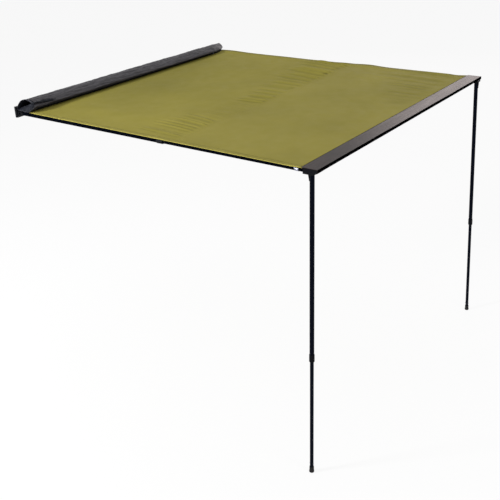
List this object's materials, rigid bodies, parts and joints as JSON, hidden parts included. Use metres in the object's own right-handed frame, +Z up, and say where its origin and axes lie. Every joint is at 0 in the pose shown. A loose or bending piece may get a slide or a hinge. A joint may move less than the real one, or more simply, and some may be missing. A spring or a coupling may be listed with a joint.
{
  "type": "vehicle side awning",
  "caption": "Pull-out side awning for a vehicle, open: wall rail with storage bag, cloth canopy, flat front beam, telescopic side arms and folding, telescopic legs.",
  "frame": {"origin": "back face of the rear rail, at the middle of its length and of its height", "axes": "+X along the rail from the near end to the far end, +Y out of the rail's back towards the vehicle, +Z up"},
  "size_m": [2.119, 2.25, 1.8516],
  "materials": {
    "rail_metal": "black anodised, satin",
    "beam_metal": "satin anodised, fine lengthwise streaks",
    "tube_metal": "near-black powder coat",
    "bright_metal": "bright zinc",
    "moulding": "fine grained black",
    "edge_trim": "semi-gloss black",
    "rubber": "matt",
    "canopy_cloth": "olive coated canvas",
    "hem_cloth": "olive canvas, folded and stitched",
    "bag_cloth": "charcoal coated cloth",
    "binding_cloth": "black woven binding",
    "keder_rope": "olive cord in a cloth sleeve"
  },
  "bodies": {
    "frame": {"rear_rail": "rail_metal", "near_rail_cap": "moulding", "far_rail_cap": "moulding", "front_beam": "beam_metal", "beam_edge_trim": "edge_trim", "canopy": "canopy_cloth", "canopy_front_keder": "keder_rope", "canopy_rear_keder": "keder_rope", "near_canopy_hem": "hem_cloth", "far_canopy_hem": "hem_cloth", "storage_bag": "bag_cloth", "bag_rim": "binding_cloth", "bag_keder": "binding_cloth", "zip_tape": "binding_cloth", "near_corner_bracket": "moulding", "near_corner_screws": "bright_metal", "near_leg_pin": "bright_metal", "near_arm_bracket": "moulding", "near_arm_pin": "bright_metal", "near_arm_screws": "bright_metal", "far_corner_bracket": "moulding", "far_corner_screws": "bright_metal", "far_leg_pin": "bright_metal", "far_arm_bracket": "moulding", "far_arm_pin": "bright_metal", "far_arm_screws": "bright_metal"},
    "near_leg": {"near_leg_knuckle": "moulding", "near_leg_outer_tube": "tube_metal", "near_leg_collet": "moulding"},
    "near_leg_collar": {"near_leg_twist_collar": "moulding"},
    "near_arm": {"near_arm_knuckle": "moulding", "near_arm_outer_tube": "tube_metal", "near_arm_collet": "moulding"},
    "near_arm_collar": {"near_arm_twist_collar": "moulding"},
    "near_leg_ext": {"near_leg_inner_tube": "tube_metal", "near_leg_guide_bush": "moulding", "near_leg_foot": "rubber", "near_leg_rivet": "bright_metal"},
    "near_arm_ext": {"near_arm_inner_tube": "tube_metal", "near_arm_guide_bush": "moulding", "near_arm_ferrule": "bright_metal", "near_arm_tip": "moulding"},
    "far_leg": {"far_leg_knuckle": "moulding", "far_leg_outer_tube": "tube_metal", "far_leg_collet": "moulding"},
    "far_leg_collar": {"far_leg_twist_collar": "moulding"},
    "far_arm": {"far_arm_knuckle": "moulding", "far_arm_outer_tube": "tube_metal", "far_arm_collet": "moulding"},
    "far_arm_collar": {"far_arm_twist_collar": "moulding"},
    "far_leg_ext": {"far_leg_inner_tube": "tube_metal", "far_leg_guide_bush": "moulding", "far_leg_foot": "rubber", "far_leg_rivet": "bright_metal"},
    "far_arm_ext": {"far_arm_inner_tube": "tube_metal", "far_arm_guide_bush": "moulding", "far_arm_ferrule": "bright_metal", "far_arm_tip": "moulding"},
    "zip": {"zip_slider": "bright_metal", "zip_pull": "binding_cloth"}
  },
  "joints": [
    {"name": "near_leg_fold", "type": "hinge", "parent": "frame", "child": "near_leg", "pos_m": [-0.972, -2.2003, -0.009], "axis": [0, -1, 0], "range_deg": [0, 92.4]},
    {"name": "near_leg_slide", "type": "slide", "parent": "near_leg", "child": "near_leg_ext", "axis": [0.0419, 0, 0.9991], "range_m": [-0.23, 0.63]},
    {"name": "near_leg_twist_lock", "type": "hinge", "parent": "near_leg", "child": "near_leg_collar", "pos_m": [-0.972, -2.2003, -0.009], "axis": [0.0419, 0, 0.9991], "range_deg": [0, 120]},
    {"name": "near_arm_swing", "type": "hinge", "parent": "frame", "child": "near_arm", "pos_m": [-0.985, -0.048, -0.007], "axis": [0.0192, 0, 0.9998], "range_deg": [0, 90]},
    {"name": "near_arm_slide", "type": "slide", "parent": "near_arm", "child": "near_arm_ext", "axis": [0, 1, 0], "range_m": [0, 0.86]},
    {"name": "near_arm_twist_lock", "type": "hinge", "parent": "near_arm", "child": "near_arm_collar", "pos_m": [-0.985, -0.048, -0.007], "axis": [0, 1, 0], "range_deg": [0, 120]},
    {"name": "far_leg_fold", "type": "hinge", "parent": "frame", "child": "far_leg", "pos_m": [0.972, -2.2284, -0.009], "axis": [0, 1, 0], "range_deg": [0, 92.4]},
    {"name": "far_leg_slide", "type": "slide", "parent": "far_leg", "child": "far_leg_ext", "axis": [-0.0419, 0, 0.9991], "range_m": [-0.23, 0.63]},
    {"name": "far_leg_twist_lock", "type": "hinge", "parent": "far_leg", "child": "far_leg_collar", "pos_m": [0.972, -2.2284, -0.009], "axis": [-0.0419, 0, 0.9991], "range_deg": [0, 120]},
    {"name": "far_arm_swing", "type": "hinge", "parent": "frame", "child": "far_arm", "pos_m": [0.985, -0.08, -0.007], "axis": [0.0192, 0, -0.9998], "range_deg": [0, 90]},
    {"name": "far_arm_slide", "type": "slide", "parent": "far_arm", "child": "far_arm_ext", "axis": [0, 1, 0], "range_m": [0, 0.82]},
    {"name": "far_arm_twist_lock", "type": "hinge", "parent": "far_arm", "child": "far_arm_collar", "pos_m": [0.985, -0.08, -0.007], "axis": [0, 1, 0], "range_deg": [0, 120]},
    {"name": "zip_slide", "type": "slide", "parent": "frame", "child": "zip", "axis": [1, 0, 0], "range_m": [-1.7, 0]}
  ]
}
